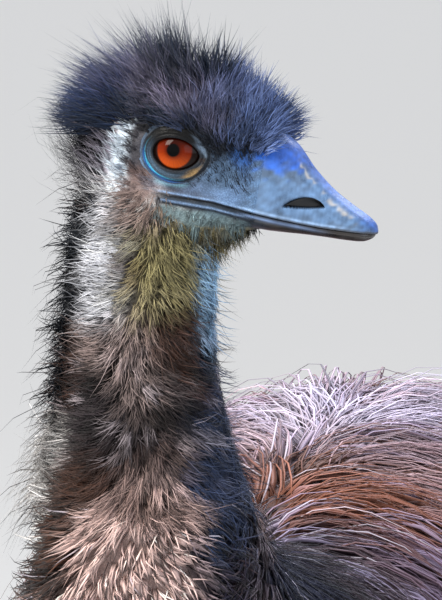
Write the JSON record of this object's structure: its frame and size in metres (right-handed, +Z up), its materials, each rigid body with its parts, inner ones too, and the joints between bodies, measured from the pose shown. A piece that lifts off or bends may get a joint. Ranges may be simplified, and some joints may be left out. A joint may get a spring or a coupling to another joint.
{
  "type": "emu",
  "caption": "Life-size standing emu model: shaggy drooping plumage, neck drawn back, crested blue-grey head turned to its left, bare scaly legs with three toes.",
  "frame": {"origin": "on the ground under the middle of the bird's box", "axes": "+Z up, -Y the way the body faces, +X the bird's left and the way the bill points"},
  "size_m": [0.465, 0.9496, 1.3584],
  "materials": {
    "coat": "matte",
    "hackle": "matte",
    "bill": "satin",
    "eye": "gloss",
    "scales": "satin",
    "claw": "satin"
  },
  "bodies": {
    "root": {"bill_lower": "bill", "bill_upper": "bill", "claw_inner_left": "claw", "claw_inner_right": "claw", "claw_middle_left": "claw", "claw_middle_right": "claw", "claw_outer_left": "claw", "claw_outer_right": "claw", "eye_left": "eye", "eye_right": "eye", "foot_left": "scales", "foot_right": "scales", "head": "hackle", "neck_lower": "hackle", "neck_upper": "hackle", "shank_left": "scales", "shank_right": "scales", "tail": "coat", "tarsus_left": "scales", "tarsus_right": "scales", "thigh_left": "coat", "thigh_right": "coat", "toe_inner_left": "scales", "toe_inner_right": "scales", "toe_middle_left": "scales", "toe_middle_right": "scales", "toe_outer_left": "scales", "toe_outer_right": "scales", "torso": "coat", "wing_left": "coat", "wing_right": "coat"}
  },
  "joints": []
}
